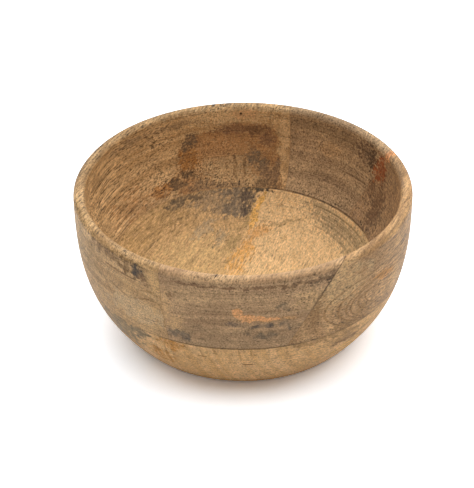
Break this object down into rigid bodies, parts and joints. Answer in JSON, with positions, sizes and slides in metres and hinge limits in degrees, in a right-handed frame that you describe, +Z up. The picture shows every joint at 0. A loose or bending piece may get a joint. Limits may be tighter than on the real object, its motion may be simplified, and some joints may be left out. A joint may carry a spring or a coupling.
{
  "type": "wooden bowl",
  "caption": "Deep round turned bowl glued up from mango wood boards, with a flat foot, a plumb wall and a half-round lip; holds food or small things.",
  "frame": {"origin": "centre of the flat foot, on the bowl's axis", "axes": "+Z up along the bowl's axis, -Y towards the front as pictured, +X to the right"},
  "size_m": [0.25, 0.25, 0.116],
  "materials": {
    "base_wood": "oiled, satin",
    "left_wood": "oiled, satin",
    "right_wood": "oiled, satin",
    "front_wood": "oiled, satin",
    "back_wood": "oiled, satin",
    "glue": "cured wood glue, dark with oil and dust"
  },
  "bodies": {
    "root": {"base_board": "base_wood", "bed_glue": "glue", "left_wall_board": "left_wood", "right_wall_board": "right_wood", "front_wall_board": "front_wood", "back_wall_board": "back_wood", "left_front_glue": "glue", "left_back_glue": "glue", "right_front_glue": "glue", "right_back_glue": "glue"}
  },
  "joints": []
}
